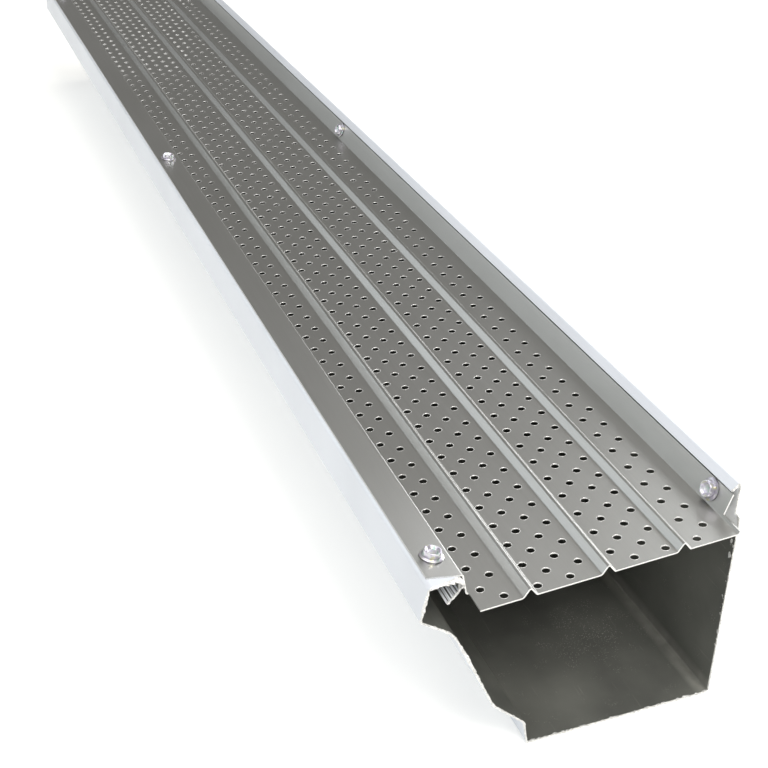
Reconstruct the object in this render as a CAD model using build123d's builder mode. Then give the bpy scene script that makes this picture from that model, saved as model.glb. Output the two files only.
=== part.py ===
from build123d import *
from math import atan2, cos, degrees, radians, sin, tan
import os

# Perforated gutter guard screwed onto a length of K-style gutter.
# Millimetres. X runs along the gutter, +Y is the street side, +Z is up.
# The origin is at the middle of the length and depth, on the floor the gutter's bottom rests on.

# The K-style gutter
gutter_depth = 127.0            # back wall to fascia, outside
gutter_sheet = 0.7
floor_width = 82.5              # flat bottom
back_height = 99.6
fascia_height = 20.0            # flat vertical face at the top of the front
fascia_top = 85.5               # height of the front's top corner
ogee_toe_height = 11.0          # low upright part of the front, above the bottom
ogee_toe_lean = 2.0
ogee_belly_out = 13.8           # how far the shallow lower slope reaches forward
ogee_belly_rise = 12.5
ogee_shoulder_in = 12.0         # how far the shoulder stands back from the fascia
ogee_shoulder_drop = 6.2
toe_radius = 4.0
belly_radius = 12.0
shoulder_radius = 9.0
corner_radius = 1.6             # outside radius of the gutter's bends
fold_radius = 0.9               # the same where the hem folds over

# The gutter's folded top edges
lip_width = 14.6                # top of the front, sloping down towards the back
lip_slope = 7.4                 # degrees
lip_drop = 6.3                  # inner wall of the lip
return_width = 6.6              # the lip's last fold, back towards the fascia
return_slope = 33.0             # degrees below level
hem_width = 5.8                 # back wall's top, folded forwards and down
hem_lean = 44.0                 # degrees from upright

# The perforated guard
guard_length = 914.4            # 3 ft
guard_sheet = 0.6
flange_setback = 1.2            # flange edge, behind the fascia's face
riser_gap = 0.3                 # top of the guard's riser to the lip's inner wall
riser_lean = 12.3               # degrees from upright, its foot towards the back
tray_drop = 8.65                # from the front flange down to the tray
tray_pitch = 5.3                # degrees, rising towards the back
tray_back_gap = 6.6             # tray's back edge to the gutter's back face
hem_gap = 0.3                   # back flange's top edge, below the hem
rib_height = 3.5
rib_front_run = 2.8             # foot to crest, on the street side
rib_back_run = 2.3
first_rib = 20.3                # crest of the first rib, from the tray's front edge
rib_pitch = 30.6
rib_count = 3
soft_radius = 1.8
sharp_radius = 1.0
crest_radius = 0.5

# The perforations: bands of staggered rows between the ribs
hole_diameter = 3.2
hole_pitch = 12.7               # along a row
row_pitch = 6.35
band_rows = (2, 4, 4, 2)
first_row = 5.4                 # from the tray's front edge
band_gap = 13.0                 # last row of a band to the first row of the next, over a rib
end_margin = 4.0                # tray's near end to the first hole
stagger = hole_pitch / 2

# The ends: the guard's flanges are notched to lap the next guard, and the gutter is cut off askew
front_notch = 10.4
back_notch = 11.0
back_stub = 1.0                 # what the back notch leaves of the bend
cut_front = 5.0                 # guard's near end to the gutter's cut, at the fascia
cut_back = 9.2                  # the same, at the back wall
fascia_wander = 6.5             # how much further in the saw went at the fascia's foot
ogee_wander = 16.0              # how far below the fascia's foot it left its line
lip_wander = 6.0                # how much further in it went at the lip's inner wall
hem_wander = 3.0                # the same at the hem and the back wall above the tray

# The hex washer head screws
washer_diameter = 9.1
washer_thickness = 0.9
hex_flats = 6.35
hex_height = 2.1
dish_diameter = 4.0
dish_depth = 0.5
shank_diameter = 4.0
screw_clearance = 0.1           # shank to sheet, each side
first_screw = 22.5              # from the guard's near end
front_screw_pitch = 426.0
back_screw_pitch = 434.0
screw_count = 3

# Places that follow from the sizes
near_end = -guard_length / 2
far_end = guard_length / 2
back_face = -gutter_depth / 2
front_face = gutter_depth / 2


def run(start, length, angle):
    # the point a given length from the start, at an angle in degrees from +Y towards +Z
    return start[0] + length * cos(radians(angle)), start[1] + length * sin(radians(angle))


# Gutter section, drawn along its outside from the hem, down the back, along the bottom and up the front
back_top = (back_face, back_height)
hem_tip = run(back_top, hem_width, hem_lean - 90)
floor_front = (back_face + floor_width, 0)
toe_top = (floor_front[0] + ogee_toe_lean, ogee_toe_height)
belly_top = (toe_top[0] + ogee_belly_out, toe_top[1] + ogee_belly_rise)
fascia_foot = (front_face, fascia_top - fascia_height)
shoulder = (front_face - ogee_shoulder_in, fascia_foot[1] - ogee_shoulder_drop)
fascia_corner = (front_face, fascia_top)
lip_corner = run(fascia_corner, lip_width, 180 + lip_slope)
lip_foot = (lip_corner[0], lip_corner[1] - lip_drop)
return_tip = run(lip_foot, return_width, -return_slope)
# lower corner of the hem's folded edge, which the guard's back flange stops under
hem_foot = run(hem_tip, gutter_sheet, hem_lean - 180)

# Guard section, drawn along its underside from the fascia to the back
flange_edge = run(fascia_corner, flange_setback, 180 + lip_slope)
flange_inner = run(lip_corner, riser_gap / cos(radians(lip_slope)), 180 + lip_slope)
tray_front = (flange_inner[0] - tray_drop * tan(radians(riser_lean)), flange_inner[1] - tray_drop)
tray_width = (tray_front[0] - back_face - tray_back_gap) / cos(radians(tray_pitch))


def on_tray(along, up=0):
    # a point of the section at a distance from the tray's front edge, and a height off the tray
    return run(run(tray_front, along, 180 - tray_pitch), up, 90 - tray_pitch)


tray_back = on_tray(tray_width)
flange_aim = (hem_foot[0] - guard_sheet / 2, hem_foot[1] - hem_gap)
back_lean = degrees(atan2(tray_back[0] - flange_aim[0], flange_aim[1] - tray_back[1]))
flange_top = run(flange_aim, guard_sheet * sin(radians(back_lean)), back_lean - 90)

rib_corners = []
for i in range(rib_count):
    crest = first_rib + i * rib_pitch
    rib_corners += [on_tray(crest - rib_front_run), on_tray(crest, rib_height), on_tray(crest + rib_back_run)]

# Screw seats on the guard's outer faces, with their axes pointing away from the gutter
front_seat = run(run(flange_edge, (lip_width + riser_gap - flange_setback) / 2, 180 + lip_slope),
                 guard_sheet, 90 + lip_slope)
front_axis = (0, cos(radians(90 + lip_slope)), sin(radians(90 + lip_slope)))
back_seat_up = (flange_top[1] - tray_back[1]) / cos(radians(back_lean)) / 2 + sharp_radius / 2
back_seat = run(run(tray_back, back_seat_up, 90 + back_lean), guard_sheet, back_lean)
back_axis = (0, cos(radians(back_lean)), sin(radians(back_lean)))
shank_radius = shank_diameter / 2
# the shank ends flush with the gutter's back face
shank_length = (back_seat[0] - back_face - shank_radius * sin(radians(back_lean))) / cos(radians(back_lean))

screw_seats = {}
for side, seat, axis, pitch in (("front", front_seat, front_axis, front_screw_pitch),
                                ("back", back_seat, back_axis, back_screw_pitch)):
    for i in range(screw_count):
        x = near_end + first_screw + i * pitch
        screw_seats[f"{side}_screw_{i + 1}"] = Plane(origin=(x, *seat), x_dir=(1, 0, 0), z_dir=axis)
drill_radius = shank_radius + screw_clearance
drill_depth = shank_length + gutter_sheet

with BuildPart() as gutter_channel:
    with BuildSketch(Plane.YZ.offset(near_end)):
        with BuildLine():
            FilletPolyline(
                hem_tip, back_top, (back_face, 0), floor_front, toe_top, belly_top, shoulder,
                fascia_foot, fascia_corner, lip_corner, lip_foot, return_tip,
                radius=[fold_radius, corner_radius, corner_radius, toe_radius, belly_radius,
                        shoulder_radius, corner_radius, corner_radius, corner_radius, corner_radius],
            )
            offset(amount=gutter_sheet, side=Side.RIGHT)
        make_face()
    extrude(amount=guard_length)

    # The near end is sawn off a little out of square
    with BuildSketch(Plane.XY.offset(-1)):
        with BuildLine():
            Polyline(
                (near_end - 1, back_face - 1), (near_end + cut_back, back_face - 1),
                (near_end + cut_front, front_face + 1), (near_end - 1, front_face + 1), close=True,
            )
        make_face()
    extrude(amount=back_height + 2, mode=Mode.SUBTRACT)

    # The saw wandered: the fascia's foot is cut furthest in, seen from the street
    with BuildSketch(Plane.XZ.offset(-front_face - 1)):
        with BuildLine():
            Polyline(
                (near_end - 1, fascia_top + 1), (near_end + cut_front, fascia_top + 1),
                (near_end + cut_front + fascia_wander, fascia_foot[1]),
                (near_end + cut_front, fascia_foot[1] - ogee_wander),
                (near_end - 1, fascia_foot[1] - ogee_wander), close=True,
            )
        make_face()
    extrude(amount=front_face - belly_top[0] + 1, mode=Mode.SUBTRACT)

    # and so is the lip's inner wall, seen from above
    with BuildSketch(Plane.XY.offset(fascia_foot[1] + gutter_sheet)):
        with BuildLine():
            Polyline(
                (near_end - 1, front_face), (near_end + cut_front, front_face),
                (near_end + cut_front + lip_wander, lip_corner[0] - 1), (near_end - 1, lip_corner[0] - 1), close=True,
            )
        make_face()
    extrude(amount=back_height, mode=Mode.SUBTRACT)

    # and the back wall's top with its hem
    with BuildSketch(Plane.XY.offset(tray_back[1])):
        with BuildLine():
            Polyline(
                (near_end - 1, back_face - 1), (near_end + cut_back + hem_wander, back_face - 1),
                (near_end + cut_back + hem_wander, tray_back[0]), (near_end - 1, tray_back[0]), close=True,
            )
        make_face()
    extrude(amount=back_height, mode=Mode.SUBTRACT)

    # Holes for the screws
    with BuildSketch(*screw_seats.values()):
        Circle(drill_radius)
    extrude(amount=-drill_depth, mode=Mode.SUBTRACT)

with BuildPart() as guard_panel:
    with BuildSketch(Plane.YZ.offset(near_end)):
        with BuildLine():
            FilletPolyline(
                flange_edge, flange_inner, tray_front, *rib_corners, tray_back, flange_top,
                radius=[crest_radius, sharp_radius, *[soft_radius, crest_radius, sharp_radius] * rib_count,
                        sharp_radius],
            )
            offset(amount=guard_sheet, side=Side.RIGHT)
        make_face()
    extrude(amount=guard_length)

    # The near end's front flange and riser are cut away, and the back flange down to a stub
    with BuildSketch(Plane.XY):
        with BuildLine():
            Polyline(
                (near_end - 1, tray_front[0] - sharp_radius), (near_end + front_notch, tray_front[0] - sharp_radius),
                (near_end + front_notch, front_face + 1), (near_end - 1, front_face + 1), close=True,
            )
        make_face()
    extrude(amount=fascia_top * 2, mode=Mode.SUBTRACT)
    with BuildSketch(Plane.XY.offset(tray_back[1] + guard_sheet + back_stub)):
        with BuildLine():
            Polyline(
                (near_end - 1, back_face), (near_end + back_notch, back_face),
                (near_end + back_notch, tray_back[0] + 2 * guard_sheet),
                (near_end - 1, tray_back[0] + 2 * guard_sheet), close=True,
            )
        make_face()
    extrude(amount=back_height, mode=Mode.SUBTRACT)

    # Perforations, band by band; the rows keep one stagger across the ribs
    tray_plane = Plane(origin=(0, *tray_front), x_dir=(1, 0, 0),
                       z_dir=(0, sin(radians(tray_pitch)), cos(radians(tray_pitch))))
    row_at = first_row
    grid_row = 0
    for rows in band_rows:
        centres = []
        for i in range(rows):
            start = end_margin + (stagger if grid_row % 2 == 0 else 0)
            count = int((guard_length - start - end_margin) / hole_pitch) + 1
            centres += [(near_end + start + k * hole_pitch, -row_at) for k in range(count)]
            grid_row += 1
            row_at += row_pitch if i < rows - 1 else band_gap
        grid_row += 1
        with BuildSketch(tray_plane):
            with Locations(*centres):
                Circle(hole_diameter / 2)
        extrude(amount=guard_sheet * 2, both=True, mode=Mode.SUBTRACT)

    # Holes for the screws
    with BuildSketch(*screw_seats.values()):
        Circle(drill_radius)
    extrude(amount=-drill_depth, mode=Mode.SUBTRACT)

# Hex washer head screws, with the shallow dish of a cold-formed head
screws = {}
for name, seat in screw_seats.items():
    with BuildPart() as screw:
        with BuildSketch(seat):
            Circle(washer_diameter / 2)
        extrude(amount=washer_thickness)
        with BuildSketch(seat.offset(washer_thickness)):
            RegularPolygon(hex_flats / 2, 6, major_radius=False)
        extrude(amount=hex_height)
        with BuildSketch(seat.offset(washer_thickness + hex_height)):
            Circle(dish_diameter / 2)
        extrude(amount=-dish_depth, taper=40, mode=Mode.SUBTRACT)
        with BuildSketch(seat):
            Circle(shank_radius)
        extrude(amount=-shank_length)
    screws[name] = screw.part

os.makedirs("parts", exist_ok=True)
gutter_channel.part.label = "gutter_channel"
guard_panel.part.label = "guard_panel"
export_step(gutter_channel.part, "parts/gutter_channel.step")
export_step(guard_panel.part, "parts/guard_panel.step")
for name, solid in screws.items():
    solid.label = name
    export_step(solid, f"parts/{name}.step")

for name, solid in {"gutter_channel": gutter_channel.part, "guard_panel": guard_panel.part, **screws}.items():
    box = solid.bounding_box()
    print(name, "volume", round(solid.volume, 1), "valid", solid.is_valid, "low", box.min, "high", box.max)
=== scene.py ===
import math

import bpy
from mathutils import Matrix, Vector


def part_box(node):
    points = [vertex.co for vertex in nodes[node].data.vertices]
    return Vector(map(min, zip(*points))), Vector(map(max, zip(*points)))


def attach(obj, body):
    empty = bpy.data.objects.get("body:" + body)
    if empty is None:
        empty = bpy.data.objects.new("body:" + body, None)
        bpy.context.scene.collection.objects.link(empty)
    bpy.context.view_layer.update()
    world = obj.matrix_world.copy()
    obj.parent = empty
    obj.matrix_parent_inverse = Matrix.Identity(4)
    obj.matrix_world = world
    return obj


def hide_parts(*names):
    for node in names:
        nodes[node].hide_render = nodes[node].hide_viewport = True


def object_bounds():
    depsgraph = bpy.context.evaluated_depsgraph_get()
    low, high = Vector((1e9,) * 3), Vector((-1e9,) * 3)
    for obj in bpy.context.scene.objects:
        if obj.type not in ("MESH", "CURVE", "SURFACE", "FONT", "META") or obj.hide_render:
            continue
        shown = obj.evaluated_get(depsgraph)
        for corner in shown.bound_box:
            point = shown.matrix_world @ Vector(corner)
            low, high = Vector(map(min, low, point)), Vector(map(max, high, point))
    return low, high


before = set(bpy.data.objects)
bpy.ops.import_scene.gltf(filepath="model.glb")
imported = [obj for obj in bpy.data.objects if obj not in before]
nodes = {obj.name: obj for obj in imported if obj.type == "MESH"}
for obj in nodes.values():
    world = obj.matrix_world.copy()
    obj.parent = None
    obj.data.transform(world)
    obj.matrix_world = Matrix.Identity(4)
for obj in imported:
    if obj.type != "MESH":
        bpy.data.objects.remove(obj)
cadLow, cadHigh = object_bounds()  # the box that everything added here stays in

print("frame:", len(nodes), "nodes, box", [round(v, 4) for v in (*cadLow, *cadHigh)])


# small helpers for every material and piece below
def hexColour(code):
    # sRGB hex, as a paint card gives it, to the linear values that shaders use
    channels = [int(code[i:i + 2], 16) / 255 for i in (0, 2, 4)]
    return [c / 12.92 if c <= 0.04045 else ((c + 0.055) / 1.055) ** 2.4 for c in channels] + [1.0]


def addNode(tree, kind, settings=None, links=None):
    # one node: settings go to its properties or sockets, links say what feeds its sockets
    node = tree.nodes.new(kind)
    for key, value in (settings or {}).items():
        if isinstance(key, str) and hasattr(node, key):
            setattr(node, key, value)
        else:
            node.inputs[key].default_value = value
    for key, source in (links or {}).items():
        tree.links.new(source, node.inputs[key])
    return node


def addRamp(tree, source, stops):
    # a colour ramp with its stops written as (place, hex)
    ramp = addNode(tree, "ShaderNodeValToRGB", links={"Fac": source})
    elements = ramp.color_ramp.elements
    while len(elements) < len(stops):
        elements.new(0.5)
    for element, (place, code) in zip(elements, stops):
        element.position = place
        element.color = hexColour(code)
    return ramp.outputs["Color"]


def newMaterial(name):
    material = bpy.data.materials.new(name)
    material.use_nodes = True
    tree = material.node_tree
    tree.nodes.clear()
    shader = addNode(tree, "ShaderNodeBsdfPrincipled")
    output = addNode(tree, "ShaderNodeOutputMaterial", links={"Surface": shader.outputs["BSDF"]})
    output.target = "ALL"
    coords = addNode(tree, "ShaderNodeTexCoord").outputs["Object"]
    return material, tree, shader, coords


# mill aluminium, the guard's sheet: cold rolled and left as it comes off the mill,
# which gives a soft grey satin, a fine grain along its length and slow waves in its reflections
millSheet = {
    "dark": "B6B6B3",
    "light": "BEBEBC",
    "metallic": 1.0,
    "roughLow": 0.34,
    "roughHigh": 0.42,
    "grainWidth": 0.7,  # mm, drawn coarser than the mill's 0.05 mm so that it shows
    "grainLength": 45,  # mm
    "grainShare": 0.35,  # how much of the colour's change is grain, the rest is cloud
    "cloud": 1000 / 9,  # mm
    "waveLength": 140,  # mm, the sheet's slow unevenness after roll forming
    "waveHeight": 0.5,  # mm
}


def makeMillAluminium(values):
    material, tree, shader, coords = newMaterial("millAluminium")
    stretched = addNode(tree, "ShaderNodeMapping", {
        "Scale": (1000 / values["grainLength"], 1000 / values["grainWidth"], 1000 / values["grainWidth"]),
    }, {"Vector": coords}).outputs["Vector"]
    grain = addNode(tree, "ShaderNodeTexNoise", {"Scale": 1.0, "Detail": 3.0, "Roughness": 0.6},
                    {"Vector": stretched}).outputs["Fac"]
    cloud = addNode(tree, "ShaderNodeTexNoise", {"Scale": 1000 / values["cloud"], "Detail": 2.0},
                    {"Vector": coords}).outputs["Fac"]
    both = addNode(tree, "ShaderNodeMix", {"data_type": "FLOAT", "Factor": values["grainShare"]},
                   {2: cloud, 3: grain}).outputs[0]
    colour = addRamp(tree, both, [(0.3, values["dark"]), (0.7, values["light"])])
    tree.links.new(colour, shader.inputs["Base Color"])
    shader.inputs["Metallic"].default_value = values["metallic"]
    rough = addNode(tree, "ShaderNodeMapRange", {
        "To Min": values["roughLow"], "To Max": values["roughHigh"],
    }, {"Value": grain}).outputs["Result"]
    tree.links.new(rough, shader.inputs["Roughness"])
    waves = addNode(tree, "ShaderNodeTexNoise", {"Scale": 1000 / values["waveLength"], "Detail": 1.0},
                    {"Vector": coords}).outputs["Fac"]
    slow = addNode(tree, "ShaderNodeBump", {"Strength": 1.0, "Distance": values["waveHeight"] / 1000},
                   {"Height": waves}).outputs["Normal"]
    bump = addNode(tree, "ShaderNodeBump", {"Strength": 0.1, "Distance": 0.0002},
                   {"Height": grain, "Normal": slow})
    tree.links.new(bump.outputs["Normal"], shader.inputs["Normal"])
    return material


# baked enamel, the street side of the gutter: white polyester, roller coated and oven baked,
# which gives an even half gloss with a faint orange peel
enamelPaint = {"white": "D3D7DE", "shade": "CCD0D7", "rough": 0.3, "gloss": 0.3, "peel": 2.2}  # peel in mm


def makeBakedEnamel(values):
    material, tree, shader, coords = newMaterial("bakedEnamel")
    cloud = addNode(tree, "ShaderNodeTexNoise", {"Scale": 14.0, "Detail": 3.0},
                    {"Vector": coords}).outputs["Fac"]
    colour = addRamp(tree, cloud, [(0.35, values["shade"]), (0.65, values["white"])])
    tree.links.new(colour, shader.inputs["Base Color"])
    shader.inputs["Roughness"].default_value = values["rough"]
    shader.inputs["Specular IOR Level"].default_value = values["gloss"]
    peel = addNode(tree, "ShaderNodeTexNoise", {"Scale": 1000 / values["peel"], "Detail": 1.0},
                   {"Vector": coords}).outputs["Fac"]
    bump = addNode(tree, "ShaderNodeBump", {"Strength": 0.06, "Distance": 0.0002}, {"Height": peel})
    tree.links.new(bump.outputs["Normal"], shader.inputs["Normal"])
    return material


# streaked enamel, the lip's last fold: the same white paint with painted reflection and shade in lines along it,
# which gives pale and dark streaks along the gutter
streakedReflectionPaint = {
    "white": "E9ECF0", "darkStreak": "3A3B3C", "rough": 0.35,
    "lineWidth": 0.8, "lineLength": 40,  # mm
}


def makeStreakedReflectionEnamel(values):
    material, tree, shader, coords = newMaterial("streakedReflectionEnamel")
    lines = addNode(tree, "ShaderNodeMapping", {
        "Scale": (1000 / values["lineLength"], 1000 / values["lineWidth"], 1000 / values["lineWidth"]),
    }, {"Vector": coords}).outputs["Vector"]
    reflectionStreaks = addNode(tree, "ShaderNodeTexNoise", {"Scale": 1.0, "Detail": 2.0}, {"Vector": lines}).outputs["Fac"]
    # the pale and dark streaks are painted reflection and shade
    colour = addRamp(tree, reflectionStreaks, [(0.42, values["darkStreak"]), (0.55, values["white"])])
    tree.links.new(colour, shader.inputs["Base Color"])
    shader.inputs["Roughness"].default_value = values["rough"]
    bump = addNode(tree, "ShaderNodeBump", {"Strength": 0.4, "Distance": 0.0002}, {"Height": reflectionStreaks})
    tree.links.new(bump.outputs["Normal"], shader.inputs["Normal"])
    return material


# backer coat, the inside of the gutter: a thin olive grey primer on the coil's reverse, kept dark as painted
# shade, which gives a dark satin with dust, with scuffs from where the sheets were stacked, with a painted
# highlight along the bottom's back bend and with a white band under the hem at the cut end
shadedBackerCoat = {
    # the dust colour also paints the highlight along the back bend
    "dark": "4F504C", "light": "6E6F69", "dust": "DAD8CE", "rough": 0.5,
    "speck": 0.8,  # mm between specks of dust, drawn coarser than dust so that it shows
    "speckShows": 0.65,  # 1 hides the paint under a speck
    "dustAt": (-0.4, -0.034, 0.0), "dustReach": 0.034,  # m, where most of it lies
    "scuffWidth": 1.6, "scuffLength": 22,  # mm
    "scuffTurn": (0.3, 0.2, 0.5),  # radians, across the bends
    "scuffShows": 0.14,
    "bend": (-0.0612, 0.0025), "bendReach": 0.0045,  # m in y and z, the bottom's back bend
    "bendHighlight": 0.6,  # how much paler the painted highlight along the bend is
    "whiteBand": "FAFBFC",  # white on the back wall's inner face, under the hem at the cut end
    "whiteBandFrom": 0.0798, "whiteBandNear": -0.43,  # m, above this z and nearer than this x
}


def makeShadedBackerCoat(values):
    material, tree, shader, coords = newMaterial("shadedBackerCoat")
    cloud = addNode(tree, "ShaderNodeTexNoise", {"Scale": 22.0, "Detail": 4.0},
                    {"Vector": coords}).outputs["Fac"]
    # the coat's dark tone stands partly for painted shade in the covered trough
    paint = addRamp(tree, cloud, [(0.3, values["dark"]), (0.7, values["light"])])
    cells = addNode(tree, "ShaderNodeTexVoronoi", {"Scale": 1000 / values["speck"], "Randomness": 1.0},
                    {"Vector": coords}).outputs["Distance"]
    speck = addNode(tree, "ShaderNodeMapRange", {
        "From Min": 0.28, "From Max": 0.1, "To Max": values["speckShows"],
    }, {"Value": cells}).outputs["Result"]
    patch = addNode(tree, "ShaderNodeTexNoise", {"Scale": 130.0, "Detail": 4.0},
                    {"Vector": coords}).outputs["Fac"]
    away = addNode(tree, "ShaderNodeVectorMath", {"operation": "DISTANCE", 1: values["dustAt"]}, {0: coords})
    close = addNode(tree, "ShaderNodeMapRange", {
        "From Min": 0.0, "From Max": values["dustReach"], "To Min": 0.28, "To Max": -0.05,
    }, {"Value": away.outputs["Value"]}).outputs["Result"]
    heap = addNode(tree, "ShaderNodeMath", {"operation": "ADD"}, {0: patch, 1: close}).outputs["Value"]
    where = addNode(tree, "ShaderNodeMapRange", {"From Min": 0.52, "From Max": 0.76},
                    {"Value": heap}).outputs["Result"]
    dust = addNode(tree, "ShaderNodeMath", {"operation": "MULTIPLY"}, {0: speck, 1: where}).outputs["Value"]
    drawn = addNode(tree, "ShaderNodeMapping", {
        "Rotation": values["scuffTurn"],
        "Scale": (1000 / values["scuffLength"], 1000 / values["scuffWidth"], 1000 / values["scuffWidth"]),
    }, {"Vector": coords}).outputs["Vector"]
    scuffs = addNode(tree, "ShaderNodeTexNoise", {"Scale": 1.0, "Detail": 2.0}, {"Vector": drawn}).outputs["Fac"]
    scuff = addNode(tree, "ShaderNodeMapRange", {
        "From Min": 0.68, "From Max": 0.8, "To Max": values["scuffShows"],
    }, {"Value": scuffs}).outputs["Result"]
    marks = addNode(tree, "ShaderNodeMath", {"operation": "MAXIMUM"}, {0: dust, 1: scuff}).outputs["Value"]
    flat = addNode(tree, "ShaderNodeMapping", {"Scale": (0, 1, 1)}, {"Vector": coords}).outputs["Vector"]
    fromBend = addNode(tree, "ShaderNodeVectorMath", {"operation": "DISTANCE", 1: (0, *values["bend"])},
                       {0: flat})
    # a painted highlight along the bottom's back bend, in the dust's pale colour
    pale = addNode(tree, "ShaderNodeMapRange", {
        "From Min": values["bendReach"], "From Max": 0.0, "To Max": values["bendHighlight"],
    }, {"Value": fromBend.outputs["Value"]}).outputs["Result"]
    bendHighlightMask = addNode(tree, "ShaderNodeMath", {"operation": "MULTIPLY"}, {0: pale, 1: patch}).outputs["Value"]
    wearAndHighlight = addNode(tree, "ShaderNodeMath", {"operation": "MAXIMUM"}, {0: marks, 1: bendHighlightMask}).outputs["Value"]
    wornAndHighlit = addNode(tree, "ShaderNodeMix", {"data_type": "RGBA", 7: hexColour(values["dust"])},
                   {"Factor": wearAndHighlight, 6: paint}).outputs[2]
    # white on the back wall's inner face above whiteBandFrom and nearer than whiteBandNear
    place = addNode(tree, "ShaderNodeSeparateXYZ", links={"Vector": coords})
    high = addNode(tree, "ShaderNodeMapRange", {
        "From Min": values["whiteBandFrom"], "From Max": values["whiteBandFrom"] + 0.001,
    }, {"Value": place.outputs["Z"]}).outputs["Result"]
    near = addNode(tree, "ShaderNodeMapRange", {
        "From Min": values["whiteBandNear"], "From Max": values["whiteBandNear"] - 0.004,
    }, {"Value": place.outputs["X"]}).outputs["Result"]
    whiteBandMask = addNode(tree, "ShaderNodeMath", {"operation": "MULTIPLY"}, {0: high, 1: near}).outputs["Value"]
    colour = addNode(tree, "ShaderNodeMix", {"data_type": "RGBA", 7: hexColour(values["whiteBand"])},
                     {"Factor": whiteBandMask, 6: wornAndHighlit}).outputs[2]
    tree.links.new(colour, shader.inputs["Base Color"])
    shader.inputs["Roughness"].default_value = values["rough"]
    bump = addNode(tree, "ShaderNodeBump", {"Strength": 0.15, "Distance": 0.0002}, {"Height": cloud})
    tree.links.new(bump.outputs["Normal"], shader.inputs["Normal"])
    return material


# sawn aluminium, the cut ends: coil cut with a saw and snips,
# which gives bright torn metal with chips of white paint in it
sawnMetal = {"dark": "C9C8C4", "light": "FAFAF8", "metallic": 0.35, "rough": 0.45}


def makeSawnAluminium(values):
    material, tree, shader, coords = newMaterial("sawnAluminium")
    teeth = addNode(tree, "ShaderNodeTexNoise", {"Scale": 1400.0, "Detail": 3.0},
                    {"Vector": coords}).outputs["Fac"]
    colour = addRamp(tree, teeth, [(0.3, values["dark"]), (0.7, values["light"])])
    tree.links.new(colour, shader.inputs["Base Color"])
    shader.inputs["Metallic"].default_value = values["metallic"]
    shader.inputs["Roughness"].default_value = values["rough"]
    bump = addNode(tree, "ShaderNodeBump", {"Strength": 0.5, "Distance": 0.0003}, {"Height": teeth})
    tree.links.new(bump.outputs["Normal"], shader.inputs["Normal"])
    return material


# sheared aluminium, the guard's cut edges and the drawn rims of its holes:
# clean metal with no mill film on it, brighter than the sheet's face
shearedMetal = {"dark": "D6D6D4", "light": "F2F2F0", "metallic": 1.0, "rough": 0.44}

# shaded hole walls, the walls of the holes below their rims: rough as the break zone that the punch leaves,
# and kept dark beside the bright rim by painted shade
shadedHoleWallMetal = {"dark": "3E3D3A", "light": "5C5B57", "metallic": 0.8, "rough": 0.6}


def makeTornAluminium(name, values):
    # both of them: metal torn in fine flecks
    material, tree, shader, coords = newMaterial(name)
    tear = addNode(tree, "ShaderNodeTexNoise", {"Scale": 2600.0, "Detail": 2.0},
                   {"Vector": coords}).outputs["Fac"]
    colour = addRamp(tree, tear, [(0.35, values["dark"]), (0.65, values["light"])])
    tree.links.new(colour, shader.inputs["Base Color"])
    shader.inputs["Metallic"].default_value = values["metallic"]
    shader.inputs["Roughness"].default_value = values["rough"]
    return material


# zinc plate, the six screws: bright zinc with a clear chromate dip,
# which gives a pale silver with thin lilac, green and straw tints, with painted shade in the dish and the
# corners
zincPlate = {
    "tints": [(0.28, "E0DCC0"), (0.4, "E2E2E4"), (0.5, "D6D0E2"), (0.6, "E4E4E6"), (0.72, "C2DAD2")],
    "patch": 2.4,  # mm across one tint
    "creviceShade": "3E3C46", "shadeReach": 1.2,  # mm, painted shade in the dish and the corners, darkest where they are most hollow
    "metallic": 0.85,
    "rough": 0.28,
}


def makeZincPlate(values):
    material, tree, shader, coords = newMaterial("zincPlate")
    film = addNode(tree, "ShaderNodeTexNoise", {"Scale": 1000 / values["patch"], "Detail": 1.0},
                   {"Vector": coords}).outputs["Fac"]
    # ambient occlusion paints shade into the dish and the corners
    exposed = addNode(tree, "ShaderNodeAmbientOcclusion", {
        "samples": 32, "Distance": values["shadeReach"] / 1000,
    }).outputs["AO"]
    bright = addNode(tree, "ShaderNodeMapRange", {"From Min": 0.4, "From Max": 0.92},
                     {"Value": exposed}).outputs["Result"]
    colour = addNode(tree, "ShaderNodeMix", {"data_type": "RGBA", 6: hexColour(values["creviceShade"])},
                     {"Factor": bright, 7: addRamp(tree, film, values["tints"])}).outputs[2]
    tree.links.new(colour, shader.inputs["Base Color"])
    shader.inputs["Metallic"].default_value = values["metallic"]
    shader.inputs["Roughness"].default_value = values["rough"]
    return material


millAluminium = makeMillAluminium(millSheet)
bakedEnamel = makeBakedEnamel(enamelPaint)
streakedReflectionEnamel = makeStreakedReflectionEnamel(streakedReflectionPaint)
shadedBacker = makeShadedBackerCoat(shadedBackerCoat)
sawnAluminium = makeSawnAluminium(sawnMetal)
shearedAluminium = makeTornAluminium("shearedAluminium", shearedMetal)
shadedHoleWall = makeTornAluminium("shadedHoleWall", shadedHoleWallMetal)
zincChromate = makeZincPlate(zincPlate)
print("materials made:", len(bpy.data.materials))


# finishes on the two sheet metal nodes, face by face
gutterFinish = {
    # all in metres
    "hollow": (0.0, -0.015, 0.045),  # a point in the trough that every wall faces
    "lipBehind": 0.046,  # the lip's inner wall and last fold lie between these two y, above lipFoot
    "lipBefore": 0.060,
    "lipFoot": 0.071,
    "hemBehind": -0.055,  # the hem lies past this y and above hemFoot
    "hemFoot": 0.0935,
    "returnTop": 0.0768,  # the lip's last fold lies below this and above returnFoot
    "returnFoot": 0.0728,
}


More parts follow.
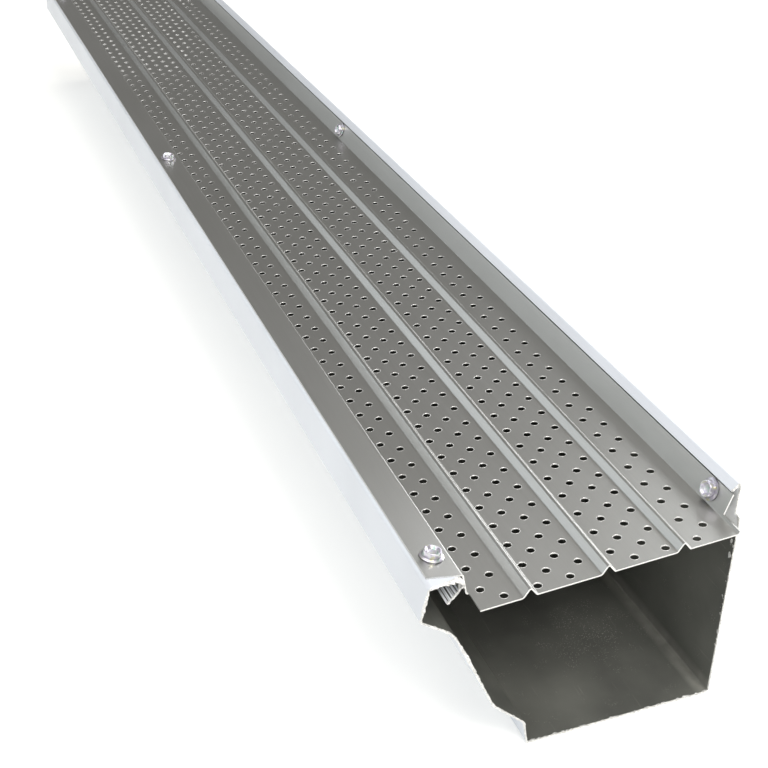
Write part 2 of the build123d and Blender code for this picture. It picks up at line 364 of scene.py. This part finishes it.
def paintGutter(gutter, values):
    # enamel on the street side, the backer coat inside darkened as painted shade, bare metal at the two cut ends
    mesh = gutter.data
    mesh.materials.clear()
    for material in (bakedEnamel, shadedBacker, sawnAluminium, streakedReflectionEnamel):
        mesh.materials.append(material)
    hollow = Vector(values["hollow"])
    for face in mesh.polygons:
        normal, centre = face.normal, face.center
        if abs(normal.x) > 0.8:
            face.material_index = 2
            continue
        towards = hollow - centre
        towards.x = 0
        inside = normal.dot(towards) > 0
        if values["lipBehind"] < centre.y < values["lipBefore"] and values["lipFoot"] < centre.z:
            inside = normal.z < 0.3 and normal.y > -0.2
        if centre.y < values["hemBehind"] and centre.z > values["hemFoot"]:
            inside = False
        face.material_index = 1 if inside else 0
        onReturn = centre.y > values["lipBehind"] and values["returnFoot"] < centre.z < values["returnTop"]
        if onReturn and normal.z > 0.3:
            face.material_index = 3


guardFinish = {
    "cutEnd": 0.999,  # faces turned this squarely along the gutter are the sheet's cut ends
    "notch": 0.0107,  # m, the near end's notches are this deep
    "trayPitch": 5.3,  # degrees
    "rowsFrom": -0.0545,  # m, the perforations lie between these two y
    "rowsTo": 0.0435,
    "holeWall": 0.0021,  # m, no other face on the tray is this narrow across
}


def finishGuard(guard, values):
    # mill aluminium with bright metal where it was sheared, and dull walls in its holes, dark with painted shade
    mesh = guard.data
    mesh.materials.clear()
    for material in (millAluminium, shearedAluminium, shadedHoleWall):
        mesh.materials.append(material)
    up = Vector((0, math.sin(math.radians(values["trayPitch"])), math.cos(math.radians(values["trayPitch"]))))
    for face in mesh.polygons:
        corners = [mesh.vertices[v].co for v in face.vertices]
        width = max(c.y for c in corners) - min(c.y for c in corners)
        length = max(c.x for c in corners) - min(c.x for c in corners)
        onRows = values["rowsFrom"] < face.center.y < values["rowsTo"]
        if onRows and abs(face.normal.dot(up)) < 0.05 and max(width, length) < values["holeWall"]:
            # the hole walls take the painted shade
            face.material_index = 2
        fromEnd = min(abs(face.center.x - cadLow.x), abs(face.center.x - cadHigh.x))
        onCut = fromEnd < 0.0001 or abs(fromEnd - values["notch"]) < 0.001
        if onCut and abs(face.normal.x) > values["cutEnd"]:
            face.material_index = 1


paintGutter(nodes["gutter_channel"], gutterFinish)
finishGuard(nodes["guard_panel"], guardFinish)
print("finishes set on the gutter and the guard")


# the gutter's sawn end: a ragged bead of torn metal and paint along the cut
sawnEnd = {
    # all in metres
    "before": -0.4405,  # only end faces nearer than this x
    "bead": 0.0009,  # how far the torn metal stands along the gutter
    "grit": 0.00032,  # the finest crumb
    "tooth": 0.0017,  # from one tooth to the next
    "tear": 0.0011,  # how deep the teeth tore
    "flap": 0.0042,  # the lip's torn end stands out this far at its inner corner
    "lipFrom": 0.0475, "lipTo": 0.0635, "lipFoot": 0.0805,  # in y, y and z
    "backWall": -0.06315, "backWallReach": 0.002, "backWallThin": 0.6,  # it tore cleaner than the rest
    "floor": 0.0,
}


def startPiece(name, mesh=None):
    # a fresh object in the scene, alone in the selection
    bpy.ops.object.select_all(action="DESELECT")
    piece = bpy.data.objects.new(name, mesh) if mesh else bpy.context.object
    if mesh:
        bpy.context.scene.collection.objects.link(piece)
    piece.name = name
    piece.select_set(True)
    bpy.context.view_layer.objects.active = piece
    return piece


def applyModifier(piece, kind, settings):
    modifier = piece.modifiers.new(kind.lower(), kind)
    for key, value in settings.items():
        setattr(modifier, key, value)
    bpy.ops.object.modifier_apply(modifier=modifier.name)


def makeSawnEnd(gutter, values):
    edge = startPiece("sawnEnd", gutter.data.copy())
    bpy.ops.object.mode_set(mode="EDIT")
    bpy.ops.mesh.select_all(action="SELECT")
    bpy.ops.mesh.remove_doubles(threshold=0.000001)
    bpy.ops.mesh.select_all(action="DESELECT")
    bpy.ops.object.mode_set(mode="OBJECT")
    for face in edge.data.polygons:
        face.select = face.normal.x < -0.3 and face.center.x < values["before"]
    bpy.ops.object.mode_set(mode="EDIT")
    bpy.ops.mesh.select_mode(type="FACE")
    bpy.ops.mesh.select_all(action="INVERT")
    bpy.ops.mesh.delete(type="FACE")
    bpy.ops.object.mode_set(mode="OBJECT")
    applyModifier(edge, "SOLIDIFY", {"thickness": values["bead"], "offset": 0.0})
    for point in edge.data.vertices:
        if point.normal.x < 0 and point.co.y > values["lipFrom"] and point.co.z > values["lipFoot"]:
            across = (values["lipTo"] - point.co.y) / (values["lipTo"] - values["lipFrom"])
            point.co.x -= values["flap"] * across
    applyModifier(edge, "REMESH", {"mode": "VOXEL", "voxel_size": values["grit"]})
    teeth = bpy.data.textures.new("sawTeeth", "CLOUDS")
    teeth.noise_scale = values["tooth"]
    teeth.noise_depth = 3
    applyModifier(edge, "DISPLACE", {"texture": teeth, "texture_coords": "LOCAL", "strength": values["tear"],
                                     "mid_level": 0.5})
    for point in edge.data.vertices:
        point.co.z = max(point.co.z, values["floor"])  # the end stands on the floor, torn edge and all
        if point.co.y < values["backWall"] + values["backWallReach"]:
            point.co.y = values["backWall"] + (point.co.y - values["backWall"]) * values["backWallThin"]
    edge.data.materials.clear()
    edge.data.materials.append(sawnAluminium)
    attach(edge, "root")
    return edge


sawnEdge = makeSawnEnd(nodes["gutter_channel"], sawnEnd)
print("sawn end:", len(sawnEdge.data.polygons), "faces")


# screws: hex washer heads, cold formed, with soft corners and a dished top
hexScrew = {
    # mm, and degrees about x for a lean
    "washer": 9.1, "washerRim": 0.5, "washerRise": 1.0,
    "flats": 6.35, "hexFoot": 0.5, "hexTop": 3.0, "hexCorner": 1.3, "hexSoften": 0.14,
    "hexFlare": 1.1,  # times, its foot spreads into the washer
    "hexRim": 0.62, "dishDeep": 1.0,
    "dishFloor": 0.72,  # times, the dish narrows to its floor
    "shank": 3.6, "shankLong": 4.9, "thread": 0.9, "threadDeep": 0.2,
    "frontSeat": (55.44, 85.058), "frontLean": 7.4,  # y and z of the washer's seat
    "backSeat": (-58.147, 90.172), "backLean": -71.495,
    "turns": {  # degrees, how each one stopped
        "front_screw_1": 8, "front_screw_2": 41, "front_screw_3": 23,
        "back_screw_1": 15, "back_screw_2": 52, "back_screw_3": 33,
    },
}


def makeScrew(values):
    # modelled once, standing on the origin, in metres
    mm = 0.001
    bpy.ops.object.select_all(action="DESELECT")
    bpy.ops.mesh.primitive_cylinder_add(
        vertices=48, radius=values["washer"] / 2 * mm, end_fill_type="NGON",
        depth=values["washerRim"] * mm, location=(0, 0, values["washerRim"] / 2 * mm))
    screw = startPiece("screwPattern")
    bpy.ops.object.transform_apply(location=True)

    def pickTop(piece, height):
        # the flat cap at a height, ready for the next edit
        bpy.ops.object.mode_set(mode="EDIT")
        bpy.ops.mesh.select_mode(type="FACE")
        bpy.ops.mesh.select_all(action="DESELECT")
        bpy.ops.object.mode_set(mode="OBJECT")
        for face in piece.data.polygons:
            face.select = abs(face.center.z - height * mm) < 0.00001 and abs(face.normal.z) > 0.99
        bpy.ops.object.mode_set(mode="EDIT")

    # washer: the rim falls away from a low cone that meets the hexagon
    pickTop(screw, values["washerRim"])
    bpy.ops.mesh.inset(thickness=0.0003)
    bpy.ops.transform.translate(value=(0, 0, 0.00012))
    bpy.ops.mesh.inset(thickness=(values["washer"] / 2 - 0.3 - values["flats"] / 2 - 0.2) * mm)
    bpy.ops.transform.translate(value=(0, 0, (values["washerRise"] - values["washerRim"]) * mm - 0.00012))
    bpy.ops.object.mode_set(mode="OBJECT")

    # hexagon: its corners pressed nearly round by the cold former, its foot spread, a dish in its top
    bpy.ops.mesh.primitive_cylinder_add(
        vertices=6, radius=values["flats"] / math.sqrt(3) * mm, end_fill_type="NGON",
        depth=(values["hexTop"] - values["hexFoot"]) * mm,
        location=(0, 0, (values["hexTop"] + values["hexFoot"]) / 2 * mm))
    hexagon = bpy.context.object
    bpy.ops.object.transform_apply(location=True)
    bpy.ops.object.mode_set(mode="EDIT")
    bpy.ops.mesh.select_mode(type="EDGE")
    bpy.ops.mesh.select_all(action="DESELECT")
    bpy.ops.object.mode_set(mode="OBJECT")
    for edge in hexagon.data.edges:
        foot, head = (hexagon.data.vertices[v].co for v in edge.vertices)
        edge.select = abs(foot.z - head.z) > 0.0005
    bpy.ops.object.mode_set(mode="EDIT")
    bpy.ops.mesh.bevel(offset=values["hexCorner"] * mm, segments=5, affect="EDGES")
    bpy.ops.mesh.select_all(action="DESELECT")
    bpy.ops.object.mode_set(mode="OBJECT")
    for point in hexagon.data.vertices:
        point.select = point.co.z < 0.001
    bpy.ops.object.mode_set(mode="EDIT")
    bpy.ops.mesh.select_mode(type="VERT")
    bpy.ops.transform.resize(value=(values["hexFlare"], values["hexFlare"], 1), center_override=(0, 0, 0))
    bpy.ops.object.mode_set(mode="OBJECT")
    pickTop(hexagon, values["hexTop"])
    bpy.ops.mesh.inset(thickness=values["hexRim"] * mm)
    bpy.ops.mesh.extrude_region_move(
        TRANSFORM_OT_translate={"value": (0, 0, -values["dishDeep"] * mm)})
    bpy.ops.transform.resize(value=(values["dishFloor"], values["dishFloor"], 1), center_override=(0, 0, 0))
    bpy.ops.object.mode_set(mode="OBJECT")
    bpy.ops.object.select_all(action="DESELECT")
    hexagon.select_set(True)
    bpy.context.view_layer.objects.active = hexagon
    applyModifier(hexagon, "BEVEL", {"width": values["hexSoften"] * mm, "segments": 3, "limit_method": "ANGLE",
                                     "angle_limit": math.radians(38)})

    # shank: a self-tapping thread of rings, one for each turn
    turns = int(values["shankLong"] / values["thread"])
    bpy.ops.mesh.primitive_cylinder_add(
        vertices=24, radius=values["shank"] / 2 * mm, end_fill_type="NGON",
        depth=values["shankLong"] * mm, location=(0, 0, -values["shankLong"] / 2 * mm))
    shank = bpy.context.object
    bpy.ops.object.transform_apply(location=True)
    bpy.ops.object.mode_set(mode="EDIT")
    for cut in range(1, turns * 2):
        bpy.ops.mesh.select_all(action="SELECT")
        bpy.ops.mesh.bisect(plane_co=(0, 0, -cut * values["thread"] / 2 * mm), plane_no=(0, 0, 1))
    bpy.ops.mesh.select_all(action="DESELECT")
    bpy.ops.object.mode_set(mode="OBJECT")
    for point in shank.data.vertices:
        step = -point.co.z / mm / values["thread"]
        if abs(step % 1 - 0.5) < 0.1:
            widen = 1 + values["threadDeep"] * 2 / values["shank"]
            point.co.x *= widen
            point.co.y *= widen

    for part in (hexagon, shank, screw):
        part.select_set(True)
    bpy.context.view_layer.objects.active = screw
    bpy.ops.object.join()
    bpy.ops.object.shade_smooth_by_angle(angle=math.radians(32))
    screw.data.materials.clear()
    screw.data.materials.append(zincChromate)
    return screw


def placeScrews(pattern, values):
    # each copy has its own mesh, turned a little differently, and takes the place of its CAD screw
    for name, turn in values["turns"].items():
        side = name.split("_")[0]
        low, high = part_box(name)
        y, z = values[side + "Seat"]
        place = Matrix.Translation(((low.x + high.x) / 2, y / 1000, z / 1000))
        lean = Matrix.Rotation(math.radians(values[side + "Lean"]), 4, "X")
        spin = Matrix.Rotation(math.radians(turn), 4, "Z")
        screw = bpy.data.objects.new(side + "Screw" + name[-1], pattern.data.copy())
        screw.data.transform(place @ lean @ spin)
        bpy.context.scene.collection.objects.link(screw)
        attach(screw, "root")
        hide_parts(name)
    bpy.data.objects.remove(pattern)


placeScrews(makeScrew(hexScrew), hexScrew)
print("screws placed")


# perforations: the punch draws the sheet down into each hole and leaves a bright rounded rim
perforations = {
    "trayFront": (46.836, 74.93),  # mm in y and z, underside of the tray's front edge
    "trayPitch": 5.3,  # degrees
    "sheet": 0.6,
    "bands": (2, 4, 4, 2),  # rows between the ribs
    "firstRow": 5.4, "rowPitch": 6.35, "bandGap": 13.0,
    "holePitch": 12.7, "endMargin": 4.0,
    "rimRadius": 1.77, "rimRound": 0.19, "rimSunk": 0.15,
    "rimFoot": (0.97, 0.97, 1.6),  # times, its lower half is drawn in and down
}


def makeRim(values):
    # one rim on the origin: a slim torus, drawn down and a little narrower at its foot
    bpy.ops.object.select_all(action="DESELECT")
    bpy.ops.mesh.primitive_torus_add(
        major_segments=16, minor_segments=6, major_radius=values["rimRadius"] / 1000,
        minor_radius=values["rimRound"] / 1000, location=(0, 0, -values["rimSunk"] / 1000))
    rim = startPiece("rimPattern")
    bpy.ops.object.transform_apply(location=True)
    for point in rim.data.vertices:
        point.select = point.co.z < -values["rimSunk"] / 1000
    bpy.ops.object.mode_set(mode="EDIT")
    bpy.ops.mesh.select_mode(type="VERT")
    bpy.ops.transform.resize(value=values["rimFoot"], center_override=(0, 0, 0))
    bpy.ops.mesh.select_all(action="DESELECT")
    bpy.ops.object.mode_set(mode="OBJECT")
    bpy.ops.object.shade_smooth()
    return rim


def placeRims(pattern, values, nearEnd, farEnd):
    # a rim in every hole, all joined to one piece; a row over a rib is left out but still counts on the grid
    pitch = math.radians(values["trayPitch"])
    tilt = Matrix.Rotation(-pitch, 4, "X")
    rims = []
    rowAt, gridRow = values["firstRow"], 0
    for rows in values["bands"]:
        for row in range(rows):
            start = values["endMargin"] + (values["holePitch"] / 2 if gridRow % 2 == 0 else 0)
            y = values["trayFront"][0] - rowAt * math.cos(pitch) + values["sheet"] * math.sin(pitch)
            z = values["trayFront"][1] + rowAt * math.sin(pitch) + values["sheet"] * math.cos(pitch)
            x = nearEnd * 1000 + start
            while x < farEnd * 1000 - values["endMargin"] + 0.01:
                rim = bpy.data.objects.new("rim", pattern.data.copy())
                rim.data.transform(Matrix.Translation((x / 1000, y / 1000, z / 1000)) @ tilt)
                bpy.context.scene.collection.objects.link(rim)
                rims.append(rim)
                x += values["holePitch"]
            gridRow += 1
            rowAt += values["rowPitch"] if row < rows - 1 else values["bandGap"]
        gridRow += 1
    bpy.data.objects.remove(pattern)
    bpy.ops.object.select_all(action="DESELECT")
    for rim in rims:
        rim.select_set(True)
    bpy.context.view_layer.objects.active = rims[0]
    bpy.ops.object.join()
    joined = bpy.context.object
    joined.name = "holeRims"
    joined.data.materials.clear()
    joined.data.materials.append(shearedAluminium)
    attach(joined, "root")
    return len(rims)


print("hole rims:", placeRims(makeRim(perforations), perforations, cadLow.x, cadHigh.x))


# floor, light and camera
studio = {
    "floor": "D8D8D6", "floorGlow": 0.63,  # lit up to white
    "floorSize": 30,  # m
    "world": "F2F0EB",
    "worldStrength": 0.24,
    "lights": [  # name, place (m), aims at, width and height (m), watts, colour
        ("overhead", (-0.3, 0.1, 2.3), (-0.3, 0.1, 0.0), (2.4, 2.4), 34, "FFFEFB"),
        ("streetHigh", (-0.6, 1.3, 1.5), (-0.3, 0.0, 0.05), (1.0, 1.0), 3, "FBFDFF"),
        ("streetWall", (1.7, 2.2, 0.6), (0.1, 0.0, 0.05), (2.4, 1.2), 14, "EFF6FA"),
        ("nearStreet", (-0.95, 0.75, 0.45), (-0.42, 0.05, 0.04), (0.5, 0.5), 1.6, "FAFCFF"),
        ("nearHigh", (-1.7, -0.2, 1.8), (-0.3, 0.0, 0.0), (1.0, 1.0), 33, "FFFDFA"),
        ("backCard", (0.5, -2.0, 0.6), (0.0, 0.0, 0.08), (2.6, 0.9), 33, "FFFFFF"),
        ("backSoft", (1.0, -0.95, 1.5), (-0.4, 0.0, 0.08), (0.9, 0.9), 0.4, "FFFFFF"),
        ("backGlow", (0.12, -0.56, 0.56), (-0.43, -0.045, 0.08), (0.24, 0.24), 0.85, "FBFDFF"),
    ],
}

cameraSetup = {
    "place": (-0.78934, 0.21284, 0.36993),
    "turn": (60.868, -1.541, -110.334),  # degrees
    "lens": 63.46,  # mm on a 36 mm sensor
}


def makeFloor(values):
    bpy.ops.object.select_all(action="DESELECT")
    bpy.ops.mesh.primitive_plane_add(size=values["floorSize"], location=(0, 0, 0))
    floor = bpy.context.object
    floor.name = "floor"
    material, tree, shader, coords = newMaterial("matteFloor")
    shader.inputs["Base Color"].default_value = hexColour(values["floor"])
    shader.inputs["Roughness"].default_value = 0.9
    shader.inputs["Emission Color"].default_value = hexColour(values["floor"])
    shader.inputs["Emission Strength"].default_value = values["floorGlow"]
    floor.data.materials.append(material)


def makeLights(values):
    for name, place, target, size, watts, colour in values["lights"]:
        data = bpy.data.lights.new(name, "AREA")
        data.shape = "RECTANGLE"
        data.size, data.size_y = size
        data.energy = watts
        data.color = hexColour(colour)[:3]
        lamp = bpy.data.objects.new(name, data)
        bpy.context.scene.collection.objects.link(lamp)
        lamp.location = place
        lamp.rotation_euler = (Vector(target) - Vector(place)).to_track_quat("-Z", "Y").to_euler()
    world = bpy.data.worlds.new("studioAir")
    bpy.context.scene.world = world
    world.use_nodes = True
    sky = world.node_tree.nodes["Background"]
    sky.inputs["Color"].default_value = hexColour(values["world"])
    sky.inputs["Strength"].default_value = values["worldStrength"]
    bpy.context.scene.view_settings.view_transform = "Standard"


def makeCamera(values):
    data = bpy.data.cameras.new("photoCamera")
    data.lens = values["lens"]
    data.sensor_width = 36
    data.clip_start = 0.01
    data.clip_end = 100
    camera = bpy.data.objects.new("photoCamera", data)
    bpy.context.scene.collection.objects.link(camera)
    camera.location = values["place"]
    camera.rotation_euler = [math.radians(a) for a in values["turn"]]
    bpy.context.scene.camera = camera


makeFloor(studio)
makeLights(studio)
makeCamera(cameraSetup)
print("studio ready")
